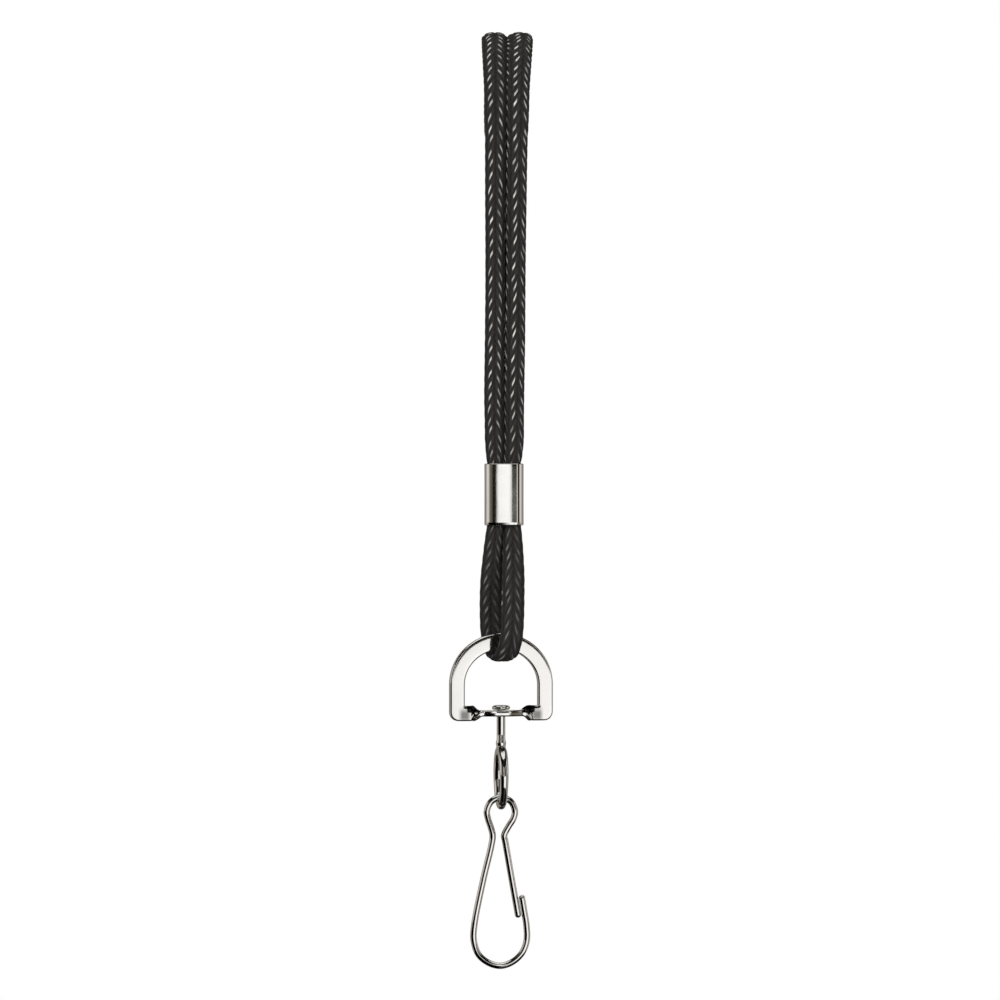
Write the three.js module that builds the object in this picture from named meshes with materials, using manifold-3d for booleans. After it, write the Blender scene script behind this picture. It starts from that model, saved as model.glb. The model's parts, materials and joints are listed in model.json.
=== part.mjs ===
// A neck lanyard of round braided cord, hanging from the fold of its neck loop.
// Millimetres, +Z up, +X to the wearer's left, -Y towards the viewer. The origin is under the fold of
// the neck loop, where a neck or a peg holds the lanyard up.
import * as THREE from "three";
import { mergeVertices } from "three/addons/utils/BufferGeometryUtils.js";
import Module from "manifold-3d";

const wasm = await Module();
wasm.setup();

const GAP = 0.3; // left between solids that touch
const TURN = 2 * Math.PI;

// The braided cord lies flattened, wider than it is thick.
const CORD_THICKNESS = 2.0;
const RING_LOOP_THICKNESS = 1.6; // pressed flatter where it carries the ring
const CORD_SIDES = 8;
const FRONT_Y = -7; // middle plane of the hanging strands and of the metal parts

// The fold of the neck loop and the hank of put-away cord behind the strands.
const FOLD_Z = -6; // height of the centre of the fold
const FOLD_RADIUS = 7; // to the middle of the cord
const HANK_FRONT = -4.8;
const HANK_BACK = 16.9;
const HANK_SHOULDER_Z = -13;
const HANK_FOOT_Z = -47.8; // centre of the round lower end
const HANK_WIDTH = 5.8;
const HANK_X = 0.6;
const WAIST_Z = -33;
const WAIST_BACK = 7.95;
const WAIST_WIDTH = 4.8;
const WAIST_REACH = 13; // the waist spreads this far above and below the tie
const TIE_HEIGHT = 3;
const TIE_THICKNESS = 0.45;
const TIE_BESIDE = 0.15; // from the waist to the inside of the tie, at its sides
const TIE_BEFORE = 0.2; // the same in front
const TIE_BEHIND = 0.6; // and behind
const TIE_CORNER = 0.5;
const TIE_INNER_CORNER = 0.1;

// The crimp, an oval ferrule pressed round the two strands.
const CRIMP_TOP = -62.7;
const CRIMP_HEIGHT = 9.3;
const CRIMP_WIDTH = 5.9;
const CRIMP_DEPTH = 3.6;
const CRIMP_WALL = 0.45;
const CRIMP_CORNER = 1.75;
const CRIMP_X = 0.45;
const CRIMPED_CORD_WIDTH = 2.15;
const CRIMPED_CORD_DEPTH = 2.1;
const CRIMPED_CORD_OFFSET = 1.2; // each cord's middle from the crimp's

// The D-ring, one stamped strip whose lower bar is twisted flat to carry the swivel.
const RING_PIVOT_Z = -89.4; // middle of its top bar, inside the cord loop
const RING_CENTRE_Z = -95.85; // centre of its arch
const RING_HALF_WIDTH = 6.9;
const RING_BAND = 2.3;
const RING_BAND_TOP = 2.5;
const RING_THICKNESS = 1.1;
const RING_CORNER = 1.3;
const OUTER_CORNER = 1.35; // the lower corners are squarer outside than a plain bend
const RING_TURN = THREE.MathUtils.degToRad(17);
const WEB_Z = -100.15;
const WEB_THICKNESS = 0.95;
const TWIST_START_X = 5;
const TWIST_END_X = 3.1;
const BOSS_WIDTH = 4;
const RING_EDGE = 0.28; // taken off the strip's corners
const RIVET_HOLE = 1.75;

// The swivel: a headed post that turns in the lower bar, with an eye below.
const RIVET_HEAD = 2.75;
const RIVET_HEAD_HEIGHT = 0.75;
const HEAD_UNDERCUT = 0.15;
const HEAD_RIM = 0.25; // height of the head's widest place
const HEAD_CROWN_EDGE = 0.35; // where its flatter crown starts, inwards from the rim
const HEAD_CROWN_DROP = 0.12; // and down from the top
const HEAD_CLEARANCE = 0.05;
const POST_RUN_IN = 0.1; // the post runs this far up into the head
const POST = 1.3;
const EYE_Z = -109.85;
const EYE_HALF_HEIGHT = 4.2;
const EYE_HALF_DEPTH = 3.3;
const EYE_WIRE = 1.5;
const EYE_WIRE_BOTTOM = 1.2;
const EYE_TURN = THREE.MathUtils.degToRad(8);

// The snap hook, bent from one spring wire.
const HOOK_WIRE = 0.95;
const NECK = [0.48, -118.6]; // x and z where the gate arm starts to flex
const GATE_END = [2.62, -130.8];

// How finely the curves are cut.
const ARCH_STEPS = 16;
const CORNER_STEPS = 6;
const TWIST_STEPS = 8;
const BOSS_STEPS = 6;
const EYE_STEPS = 32;
const EYE_SIDES = 10;
const POST_SIDES = 20;
const HOOK_STEPS = 84;
const GATE_STEPS = 4;

const dull = (color) => new THREE.MeshStandardMaterial({ color, roughness: 0.85, metalness: 0 });
const cord = () => dull(0x29272a);
const plastic = () => dull(0x1c1c1e);
const nickel = () => new THREE.MeshStandardMaterial({ color: 0xc9c5c0, roughness: 0.2, metalness: 1 });

function mesh(name, geometry, material) {
  const made = new THREE.Mesh(geometry, material);
  made.name = name;
  return made;
}

// Turns a geometry into a manifold-3d solid.
function solid(geometry) {
  const plain = new THREE.BufferGeometry();
  plain.setAttribute("position", geometry.getAttribute("position"));
  if (geometry.index) plain.setIndex(geometry.index);
  const merged = mergeVertices(plain, 1e-4);
  return new wasm.Manifold(
    new wasm.Mesh({
      numProp: 3,
      vertProperties: merged.attributes.position.array,
      triVerts: new Uint32Array(merged.index.array),
    }),
  );
}

function geometryOf(manifold) {
  const { vertProperties, triVerts } = manifold.getMesh();
  const made = new THREE.BufferGeometry();
  made.setAttribute("position", new THREE.BufferAttribute(vertProperties, 3));
  made.setIndex(new THREE.BufferAttribute(triVerts, 1));
  return made;
}

function boxAt(size, centre) {
  return solid(new THREE.BoxGeometry(...size).translate(...centre));
}

// An upright bar along Z with its own outline.
function prism(shape, bottom, height, curveSegments = 8) {
  const made = new THREE.ExtrudeGeometry(shape, { depth: height, bevelEnabled: false, curveSegments });
  return made.translate(0, 0, bottom);
}

function cylinder(diameter, bottom, top, segments = 24) {
  const made = new THREE.CylinderGeometry(diameter / 2, diameter / 2, top - bottom, segments);
  return made.rotateX(Math.PI / 2).translate(0, 0, (top + bottom) / 2);
}

function ellipse(width, depth, sides) {
  const points = [];
  for (let i = 0; i < sides; i++) {
    const angle = (TURN * (i + 0.5)) / sides;
    points.push(new THREE.Vector2((width / 2) * Math.cos(angle), (depth / 2) * Math.sin(angle)));
  }
  return new THREE.Shape(points);
}

// A strip with a section of its own at each station, closed on itself or capped at its ends.
// Each station has its corner points in order, all stations the same number.
function skin(stations, closed) {
  const sides = stations[0].length;
  const positions = stations.flat().flatMap((p) => [p.x, p.y, p.z]);
  const faces = [];
  const spans = closed ? stations.length : stations.length - 1;
  for (let i = 0; i < spans; i++) {
    const here = i * sides;
    const next = ((i + 1) % stations.length) * sides;
    for (let j = 0; j < sides; j++) {
      const k = (j + 1) % sides;
      faces.push(here + j, here + k, next + k, here + j, next + k, next + j);
    }
  }
  if (!closed) {
    const last = (stations.length - 1) * sides;
    for (let j = 1; j < sides - 1; j++) {
      faces.push(0, j + 1, j, last, last + j, last + j + 1);
    }
  }
  const made = new THREE.BufferGeometry();
  made.setAttribute("position", new THREE.Float32BufferAttribute(positions, 3));
  made.setIndex(faces);
  return made;
}

// A round wire bent in the plane y = FRONT_Y through the points [x, z].
function bentWire(points, diameter, steps, sides = 10) {
  const path = new THREE.CatmullRomCurve3(
    points.map(([x, z]) => new THREE.Vector3(x, FRONT_Y, z)),
    false,
    "centripetal",
  );
  const stations = [];
  for (let i = 0; i <= steps; i++) {
    const centre = path.getPointAt(i / steps);
    const tangent = path.getTangentAt(i / steps);
    const across = new THREE.Vector3(-tangent.z, 0, tangent.x);
    const ring = [];
    for (let j = 0; j < sides; j++) {
      const angle = (TURN * j) / sides;
      const point = centre.clone().addScaledVector(across, (diameter / 2) * Math.cos(angle));
      point.y -= (diameter / 2) * Math.sin(angle);
      ring.push(point);
    }
    stations.push(ring);
  }
  return skin(stations, false);
}

// A flattened cord through the points [x, y, z, width], its wide side as near along X as it can be.
function cordAlong(points, steps, thickness) {
  const route = new THREE.CatmullRomCurve3(points.map(([x, y, z]) => new THREE.Vector3(x, y, z)));
  const section = ellipse(1, 1, CORD_SIDES).getPoints();
  const stations = [];
  for (let i = 0; i <= steps; i++) {
    const centre = route.getPoint(i / steps);
    const tangent = route.getTangent(i / steps);
    const across = new THREE.Vector3(1, 0, 0);
    across.addScaledVector(tangent, -across.dot(tangent)).normalize();
    const outward = tangent.clone().cross(across);
    const place = (i / steps) * (points.length - 1);
    const from = Math.min(Math.floor(place), points.length - 2);
    const width = THREE.MathUtils.lerp(points[from][3], points[from + 1][3], place - from);
    const ring = section.slice(0, CORD_SIDES).map((corner) => {
      const point = centre.clone().addScaledVector(across, width * corner.x);
      return point.addScaledVector(outward, thickness * corner.y);
    });
    stations.push(ring);
  }
  return skin(stations, false);
}

// Each strand of the neck loop hangs from the fold to the crimp, leaning slightly to one side. The
// two lie against each other, so each is as wide as they are apart.
const NECK_STRAND_ROUTES = {
  neck_strand_left: [
    [-0.8, FRONT_Y, FOLD_Z - GAP, 3.35],
    [-0.83, FRONT_Y, -19, 3.15],
    [-0.91, FRONT_Y, -43, 3.0],
    [-1.03, FRONT_Y, -53, 3.0],
    [-0.92, FRONT_Y, -59.2, 2.8],
    [-0.81, FRONT_Y, CRIMP_TOP + GAP, 2.5],
  ],
  neck_strand_right: [
    [2.57, FRONT_Y, FOLD_Z - GAP, 3.35],
    [2.36, FRONT_Y, -19, 3.15],
    [2.15, FRONT_Y, -43, 3.0],
    [2.0, FRONT_Y, -53, 3.0],
    [1.95, FRONT_Y, -59.2, 2.8],
    [1.74, FRONT_Y, CRIMP_TOP + GAP, 2.5],
  ],
};
const NECK_STRAND_STEPS = 20;

// The short loop below the crimp runs down in front of the ring's top bar, under it and up behind.
const RING_LOOP_ROUTE = [
  [1.65, FRONT_Y, CRIMP_TOP - CRIMP_HEIGHT - GAP, 2.4],
  [1.8, -7.5, -76, 2.8],
  [1.85, -8.8, -82, 3.1],
  [1.7, -9.9, -87.4, 3.1],
  [1.45, -9.95, -89.6, 3.1],
  [0.85, -8.9, -91.4, 3.1],
  [0.1, -7, -92, 3.1],
  [-0.65, -5.1, -91.4, 3.1],
  [-1.2, -4.05, -89.6, 3.1],
  [-1.45, -4.1, -87.4, 3.1],
  [-1.5, -5.2, -82, 3.1],
  [-1.1, -6.5, -76, 2.8],
  [-0.75, FRONT_Y, CRIMP_TOP - CRIMP_HEIGHT - GAP, 2.4],
];
const RING_LOOP_STEPS = 48;

function neckHank() {
  const outline = new THREE.Shape();
  const foldOuter = FOLD_RADIUS + CORD_THICKNESS / 2;
  const footRadius = (HANK_BACK - HANK_FRONT) / 2;
  const footY = (HANK_BACK + HANK_FRONT) / 2;
  const bend = WAIST_REACH / 2;
  outline.moveTo(-foldOuter, FOLD_Z);
  outline.absarc(0, FOLD_Z, foldOuter, Math.PI, Math.PI / 2, true);
  const top = FOLD_Z + foldOuter;
  outline.absellipse(0, HANK_SHOULDER_Z, HANK_BACK, top - HANK_SHOULDER_Z, Math.PI / 2, 0, true);
  outline.lineTo(HANK_BACK, WAIST_Z + WAIST_REACH);
  outline.bezierCurveTo(
    HANK_BACK, WAIST_Z + bend, WAIST_BACK, WAIST_Z + bend, WAIST_BACK, WAIST_Z,
  );
  outline.bezierCurveTo(
    WAIST_BACK, WAIST_Z - bend, HANK_BACK, WAIST_Z - bend, HANK_BACK, WAIST_Z - WAIST_REACH,
  );
  outline.lineTo(HANK_BACK, HANK_FOOT_Z);
  outline.absarc(footY, HANK_FOOT_Z, footRadius, 0, -Math.PI, true);
  outline.lineTo(HANK_FRONT, FOLD_Z);
  const slab = new THREE.ExtrudeGeometry(outline, {
    depth: HANK_WIDTH,
    bevelEnabled: false,
    curveSegments: 12,
  });
  slab.applyMatrix4(
    new THREE.Matrix4().makeBasis(
      new THREE.Vector3(0, 1, 0),
      new THREE.Vector3(0, 0, 1),
      new THREE.Vector3(1, 0, 0),
    ),
  );
  slab.translate(HANK_X - HANK_WIDTH / 2, 0, 0);
  const notchHeight = TIE_HEIGHT + 2 * GAP;
  let hank = solid(slab);
  for (const side of [-1, 1]) {
    const size = [HANK_WIDTH, 2 * HANK_BACK, notchHeight];
    const x = HANK_X + (side * (WAIST_WIDTH + HANK_WIDTH)) / 2;
    hank = hank.subtract(boxAt(size, [x, footY, WAIST_Z]));
  }
  return geometryOf(hank);
}

function roundedRectangle(x0, y0, x1, y1, radius) {
  const shape = new THREE.Shape();
  shape.moveTo(x0 + radius, y0);
  shape.lineTo(x1 - radius, y0);
  shape.absarc(x1 - radius, y0 + radius, radius, -Math.PI / 2, 0, false);
  shape.lineTo(x1, y1 - radius);
  shape.absarc(x1 - radius, y1 - radius, radius, 0, Math.PI / 2, false);
  shape.lineTo(x0 + radius, y1);
  shape.absarc(x0 + radius, y1 - radius, radius, Math.PI / 2, Math.PI, false);
  shape.lineTo(x0, y0 + radius);
  shape.absarc(x0 + radius, y0 + radius, radius, Math.PI, Math.PI * 1.5, false);
  return shape;
}

// A strap round the hank's waist, passing between the hank and the strands in front.
function hankTie() {
  const inner = WAIST_WIDTH / 2 + TIE_BESIDE;
  const outer = inner + TIE_THICKNESS;
  const front = HANK_FRONT - TIE_BEFORE;
  const back = WAIST_BACK + TIE_BEHIND;
  const outerFront = front - TIE_THICKNESS;
  const band = roundedRectangle(-outer, outerFront, outer, back + TIE_THICKNESS, TIE_CORNER);
  band.holes.push(roundedRectangle(-inner, front, inner, back, TIE_INNER_CORNER));
  return prism(band, WAIST_Z - TIE_HEIGHT / 2, TIE_HEIGHT, 4).translate(HANK_X, 0, 0);
}

function crimpFerrule() {
  const half = CRIMP_WIDTH / 2;
  const radius = CRIMP_CORNER;
  const depth = CRIMP_DEPTH / 2;
  const wall = CRIMP_WALL;
  const tube = roundedRectangle(-half, -depth, half, depth, radius);
  tube.holes.push(
    roundedRectangle(-half + wall, -depth + wall, half - wall, depth - wall, radius - wall),
  );
  const made = prism(tube, CRIMP_TOP - CRIMP_HEIGHT, CRIMP_HEIGHT);
  return made.translate(CRIMP_X, FRONT_Y, 0);
}

function crimpedCord(side) {
  const section = ellipse(CRIMPED_CORD_WIDTH, CRIMPED_CORD_DEPTH, CORD_SIDES);
  const made = prism(section, CRIMP_TOP - CRIMP_HEIGHT, CRIMP_HEIGHT);
  return made.translate(CRIMP_X + side * CRIMPED_CORD_OFFSET, FRONT_Y, 0);
}

// How far the squared-off outside of a lower corner stands beyond a round one, at an angle round it.
function cornerFill(angle) {
  const c = Math.cos(angle);
  const s = Math.sin(angle);
  const outside = RING_CORNER + RING_BAND / 2;
  const offset = outside - OUTER_CORNER;
  if (Math.min(c, s) < Math.sin(Math.atan2(offset, outside))) {
    return outside / Math.max(c, s) - outside;
  }
  const reach = offset * (c + s);
  return reach + Math.sqrt(reach ** 2 - 2 * offset ** 2 + OUTER_CORNER ** 2) - outside;
}

// The middle line of the D-ring's strip, clockwise from the top of the arch, with the strip's width
// there, what is added outside it and its twist: 0 where it faces the viewer and 1 where it lies flat.
function ringStations() {
  const { lerp, smoothstep } = THREE.MathUtils;
  const archHeight = RING_PIVOT_Z - RING_CENTRE_Z;
  const cornerX = RING_HALF_WIDTH - RING_CORNER;
  const half = [];
  for (let i = 0; i <= ARCH_STEPS; i++) {
    const angle = (Math.PI / 2) * (i / ARCH_STEPS);
    half.push({
      x: RING_HALF_WIDTH * Math.sin(angle),
      z: RING_CENTRE_Z + archHeight * Math.cos(angle),
      width: lerp(RING_BAND_TOP, RING_BAND, i / ARCH_STEPS),
      fill: 0,
      twist: 0,
    });
  }
  for (let i = 0; i <= CORNER_STEPS; i++) {
    const angle = (Math.PI / 2) * (i / CORNER_STEPS);
    half.push({
      x: cornerX + RING_CORNER * Math.cos(angle),
      z: WEB_Z + RING_CORNER * (1 - Math.sin(angle)),
      width: RING_BAND,
      fill: cornerFill(angle),
      twist: 0,
    });
  }
  for (let i = 0; i <= TWIST_STEPS; i++) {
    const share = i / TWIST_STEPS;
    const x = lerp(TWIST_START_X, TWIST_END_X, share);
    half.push({ x, z: WEB_Z, width: RING_BAND, fill: 0, twist: smoothstep(share, 0, 1) });
  }
  for (let i = 1; i <= BOSS_STEPS; i++) {
    const share = i / BOSS_STEPS;
    const width = lerp(RING_BAND, BOSS_WIDTH, Math.sin((Math.PI / 2) * share));
    half.push({ x: TWIST_END_X * (1 - share), z: WEB_Z, width, fill: 0, twist: 1 });
  }
  const otherHalf = half.slice(1, -1).reverse();
  return half.concat(otherHalf.map((station) => ({ ...station, x: -station.x })));
}

// The strip's section, a rectangle with its corners taken off.
function ringSection(width, thickness) {
  const a = width / 2;
  const b = thickness / 2;
  const e = RING_EDGE;
  return [
    [a, -b + e],
    [a, b - e],
    [a - e, b],
    [-a + e, b],
    [-a, b - e],
    [-a, -b + e],
    [-a + e, -b],
    [a - e, -b],
  ];
}

function dRing() {
  const stations = ringStations();
  const count = stations.length;
  const rings = stations.map((here, i) => {
    const before = stations[(i + count - 1) % count];
    const after = stations[(i + 1) % count];
    const tangent = new THREE.Vector3(after.x - before.x, 0, after.z - before.z).normalize();
    const outward = new THREE.Vector3(-tangent.z, 0, tangent.x);
    const forward = new THREE.Vector3(0, -1, 0);
    const wide = outward.clone().applyAxisAngle(tangent, (here.twist * Math.PI) / 2);
    const thin = forward.clone().applyAxisAngle(tangent, (here.twist * Math.PI) / 2);
    const thickness = THREE.MathUtils.lerp(RING_THICKNESS, WEB_THICKNESS, here.twist);
    const centre = new THREE.Vector3(here.x, 0, here.z).addScaledVector(outward, here.fill / 2);
    return ringSection(here.width + here.fill, thickness).map(([u, v]) =>
      centre.clone().addScaledVector(wide, u).addScaledVector(thin, v),
    );
  });
  const hole = solid(cylinder(RIVET_HOLE, WEB_Z - WEB_THICKNESS, WEB_Z + WEB_THICKNESS));
  const ring = geometryOf(solid(skin(rings, true)).subtract(hole));
  return ring.rotateZ(RING_TURN).translate(0, FRONT_Y, 0);
}

// The eye stands in the plane across the hook, thinner at the bottom where the hook hangs.
function eyeLoop() {
  const rings = [];
  for (let i = 0; i < EYE_STEPS; i++) {
    const angle = (TURN * i) / EYE_STEPS;
    const centre = new THREE.Vector3(
      0,
      EYE_HALF_DEPTH * Math.sin(angle),
      EYE_Z + EYE_HALF_HEIGHT * Math.cos(angle),
    );
    const outward = new THREE.Vector3(
      0,
      EYE_HALF_HEIGHT * Math.sin(angle),
      EYE_HALF_DEPTH * Math.cos(angle),
    ).normalize();
    const wire = THREE.MathUtils.lerp(EYE_WIRE_BOTTOM, EYE_WIRE, (1 + Math.cos(angle)) / 2);
    const ring = [];
    for (let j = 0; j < EYE_SIDES; j++) {
      const turned = (TURN * j) / EYE_SIDES;
      const point = centre.clone().addScaledVector(outward, (wire / 2) * Math.cos(turned));
      point.x += (wire / 2) * Math.sin(turned);
      ring.push(point);
    }
    rings.push(ring);
  }
  return skin(rings, true);
}

// The rivet head lies on the ring's lower bar, its post goes down through it and carries the eye.
function swivelEye() {
  const headBottom = WEB_Z + WEB_THICKNESS / 2 + HEAD_CLEARANCE;
  const headTop = headBottom + RIVET_HEAD_HEIGHT;
  const rim = RIVET_HEAD / 2;
  const dome = [
    new THREE.Vector2(0, headBottom),
    new THREE.Vector2(rim - HEAD_UNDERCUT, headBottom),
    new THREE.Vector2(rim, headBottom + HEAD_RIM),
    new THREE.Vector2(rim - HEAD_CROWN_EDGE, headTop - HEAD_CROWN_DROP),
    new THREE.Vector2(0, headTop),
  ];
  const head = solid(new THREE.LatheGeometry(dome, POST_SIDES).rotateX(Math.PI / 2));
  const eyeTop = EYE_Z + EYE_HALF_HEIGHT;
  const post = solid(cylinder(POST, eyeTop, headBottom + POST_RUN_IN, POST_SIDES));
  const made = geometryOf(head.add(post).add(solid(eyeLoop())));
  return made.rotateZ(EYE_TURN).translate(0, FRONT_Y, 0);
}

// From beside the gate arm's root, over the loop in the eye, down the far arm and up to the nose.
const HOOK_ROUTE = [
  [NECK[0] + 0.1, NECK[1] + 0.3],
  [1.16, -117.1],
  [1.88, -115.9],
  [2.08, -114.8],
  [1.45, -113.4],
  [0, -112.8],
  [-1.45, -113.4],
  [-2.12, -114.8],
  [-1.95, -116],
  [-1.55, -117.2],
  [-1.25, -118.5],
  [-1.45, -120],
  [-2.68, -125.2],
  [-4.0, -131.9],
  [-4.1, -134.2],
  [-3.4, -136.3],
  [-1.95, -137.55],
  [-0.15, -138.05],
  [1.65, -137.5],
  [3.15, -136.1],
  [3.85, -134.2],
  [3.8, -131.9],
  [3.46, -129.8],
  [3.06, -127.4],
];

const lanyard = new THREE.Group();
lanyard.add(mesh("neck_hank", neckHank(), cord()));
lanyard.add(mesh("hank_tie", hankTie(), plastic()));
for (const [name, route] of Object.entries(NECK_STRAND_ROUTES)) {
  lanyard.add(mesh(name, cordAlong(route, NECK_STRAND_STEPS, CORD_THICKNESS), cord()));
}
lanyard.add(mesh("crimp_ferrule", crimpFerrule(), nickel()));
lanyard.add(mesh("crimped_cord_left", crimpedCord(-1), cord()));
lanyard.add(mesh("crimped_cord_right", crimpedCord(1), cord()));
const ringLoop = cordAlong(RING_LOOP_ROUTE, RING_LOOP_STEPS, RING_LOOP_THICKNESS);
lanyard.add(mesh("ring_loop", ringLoop, cord()));
lanyard.add(mesh("d_ring", dRing(), nickel()));
lanyard.add(mesh("swivel_eye", swivelEye(), nickel()));
lanyard.add(mesh("snap_hook", bentWire(HOOK_ROUTE, HOOK_WIRE, HOOK_STEPS), nickel()));
lanyard.add(mesh("gate_arm", bentWire([NECK, GATE_END], HOOK_WIRE, GATE_STEPS), nickel()));

export default lanyard;
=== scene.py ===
"""A neck lanyard of braided cord, seen from the front, hanging from the fold of its neck loop."""

import json
import math

import bpy
import numpy as np
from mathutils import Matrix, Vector


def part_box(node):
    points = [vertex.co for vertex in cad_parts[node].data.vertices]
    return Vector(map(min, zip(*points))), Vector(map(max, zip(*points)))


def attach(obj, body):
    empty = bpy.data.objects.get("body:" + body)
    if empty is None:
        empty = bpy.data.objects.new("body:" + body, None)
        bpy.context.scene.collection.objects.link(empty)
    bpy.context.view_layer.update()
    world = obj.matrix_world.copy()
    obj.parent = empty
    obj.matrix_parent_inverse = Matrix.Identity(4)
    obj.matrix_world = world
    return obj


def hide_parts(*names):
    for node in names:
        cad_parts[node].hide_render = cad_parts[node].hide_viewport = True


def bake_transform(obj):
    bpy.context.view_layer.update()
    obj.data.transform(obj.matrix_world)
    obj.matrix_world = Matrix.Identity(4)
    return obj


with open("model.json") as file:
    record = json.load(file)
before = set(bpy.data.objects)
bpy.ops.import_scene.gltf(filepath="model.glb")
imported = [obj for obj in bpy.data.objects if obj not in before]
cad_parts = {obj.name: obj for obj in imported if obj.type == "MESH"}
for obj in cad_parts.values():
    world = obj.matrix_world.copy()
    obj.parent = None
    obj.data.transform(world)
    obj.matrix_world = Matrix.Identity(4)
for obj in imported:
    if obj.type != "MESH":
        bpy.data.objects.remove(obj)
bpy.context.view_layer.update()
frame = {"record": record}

MM = 0.001

CRIMP_LOW, CRIMP_HIGH = (np.array(corner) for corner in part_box("crimp_ferrule"))
HANK_LOW, HANK_HIGH = (np.array(corner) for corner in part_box("neck_hank"))
JOINTS = {joint["name"]: joint for joint in frame["record"]["behaviour"]["joints"]}
RING_PIVOT = np.array(JOINTS["ring_swing"]["pos_m"])
FRONT_Y = float(RING_PIVOT[1])


# ---------------------------------------------------------------- camera

VIEW_WIDTH = 0.15
VIEW_CENTRE = (-0.00015, -0.06818)
LENS_MM = 250
SENSOR_MM = 36


def add_camera():
    camera = bpy.data.cameras.new("camera")
    camera.lens = LENS_MM
    camera.sensor_width = SENSOR_MM
    camera.clip_end = 20
    holder = bpy.data.objects.new("camera", camera)
    distance = VIEW_WIDTH * LENS_MM / SENSOR_MM
    holder.location = (VIEW_CENTRE[0], FRONT_Y - distance, VIEW_CENTRE[1])
    holder.rotation_euler = (math.pi / 2, 0, 0)
    bpy.context.scene.collection.objects.link(holder)
    bpy.context.scene.camera = holder


add_camera()


# ---------------------------------------------------------------- curves and skins


def smooth_line(points, step):
    """Points a step apart along a smooth curve through the given ones."""
    given = np.array(points, float)
    before = 2 * given[0] - given[1]
    after = 2 * given[-1] - given[-2]
    padded = np.vstack([before, given, after])
    knots = np.concatenate([[0], np.cumsum(np.linalg.norm(np.diff(padded, axis=0), axis=1) ** 0.5)])
    dense = []
    for i in range(1, len(padded) - 2):
        p0, p1, p2, p3 = padded[i - 1 : i + 3]
        t0, t1, t2, t3 = knots[i - 1 : i + 3]
        t = np.linspace(t1, t2, 24, endpoint=False)[:, None]
        a1 = (t1 - t) / (t1 - t0) * p0 + (t - t0) / (t1 - t0) * p1
        a2 = (t2 - t) / (t2 - t1) * p1 + (t - t1) / (t2 - t1) * p2
        a3 = (t3 - t) / (t3 - t2) * p2 + (t - t2) / (t3 - t2) * p3
        b1 = (t2 - t) / (t2 - t0) * a1 + (t - t0) / (t2 - t0) * a2
        b2 = (t3 - t) / (t3 - t1) * a2 + (t - t1) / (t3 - t1) * a3
        dense.append((t2 - t) / (t2 - t1) * b1 + (t - t1) / (t2 - t1) * b2)
    dense = np.vstack(dense + [given[-1:]])
    along = np.concatenate([[0], np.cumsum(np.linalg.norm(np.diff(dense, axis=0), axis=1))])
    count = max(2, round(along[-1] / step)) + 1
    wanted = np.linspace(0, along[-1], count)
    return np.stack([np.interp(wanted, along, dense[:, i]) for i in range(3)], axis=1)


def unit(vectors):
    return vectors / np.linalg.norm(vectors, axis=-1, keepdims=True)


def lerp(a, b, share):
    return a + (b - a) * share


def ease(share):
    return share * share * (3 - 2 * share)


def rise(value, none, full):
    """0 at none, changing evenly to 1 at full."""
    return np.clip((value - none) / (full - none), 0, 1)


def add_object(name, vertices, faces, material):
    mesh = bpy.data.meshes.new(name)
    mesh.from_pydata([tuple(v) for v in vertices], [], faces)
    mesh.update()
    mesh.polygons.foreach_set("use_smooth", [True] * len(mesh.polygons))
    piece = bpy.data.objects.new(name, mesh)
    piece.data.materials.append(material)
    bpy.context.scene.collection.objects.link(piece)
    return piece


def skin(name, rings, material, closed=False):
    """A surface over rings of points, each ring turning right-handed about the way along."""
    rings = np.asarray(rings)
    count, sides = rings.shape[:2]
    here = np.arange(count if closed else count - 1)[:, None] * sides
    there = (here + sides) % (count * sides)
    j = np.arange(sides)[None, :]
    k = (j + 1) % sides
    quads = np.stack([here + j, here + k, there + k, there + j], axis=-1).reshape(-1, 4).tolist()
    if not closed:
        quads.append(list(range(sides))[::-1])
        quads.append(list(range((count - 1) * sides, count * sides)))
    return add_object(name, rings.reshape(-1, 3), quads, material)


def lathe_rings(profile, sides):
    """Rings about the upright line through the origin, from radii and heights going downwards."""
    angles = -2 * math.pi * np.arange(sides) / sides
    flat = np.stack([np.cos(angles), np.sin(angles)], axis=1)
    return np.array([np.column_stack([radius * flat, np.full(sides, z)]) for radius, z in profile])


def store_corners(piece, name, vectors):
    """Keeps one vector for each face corner, for the materials to read."""
    attribute = piece.data.attributes.new(name, "FLOAT_VECTOR", "CORNER")
    attribute.data.foreach_set("vector", np.asarray(vectors, np.float32).ravel())


# ---------------------------------------------------------------- materials

# The braid: columns of slanted stitches side by side round the cord.
STITCHES_ROUND = 6
STITCH = 1.75 * MM
YARN_LEAN = 1.7
COLUMN_SHIFT = 0.25

# Painted shade in a stitch's hollows: how far off its crown and off its column it begins, and how much
# brightness it leaves where they are deepest.
HOLLOW_SHADE_OFF_CROWN = (0.20, 0.5)
HOLLOW_SHADE_OFF_COLUMN = (0.25, 0.5)
DEEPEST_HOLLOW_SHADE = 0.65

# The painted highlight on a stitch: half widths where it is full and where it is gone, and how they vary.
GLINT_WIDTH = (0.08, 0.19)
GLINT_LENGTH = (0.09, 0.20)
GLINT_SCATTER = 0.24
GLINT_BOW = 1.6
GLINT_LEAST = 0.5
GLINT_FILAMENTS = (0.5, 0.3)
GLINT_BY_LEAN = (0.8, 0.2)

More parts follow.
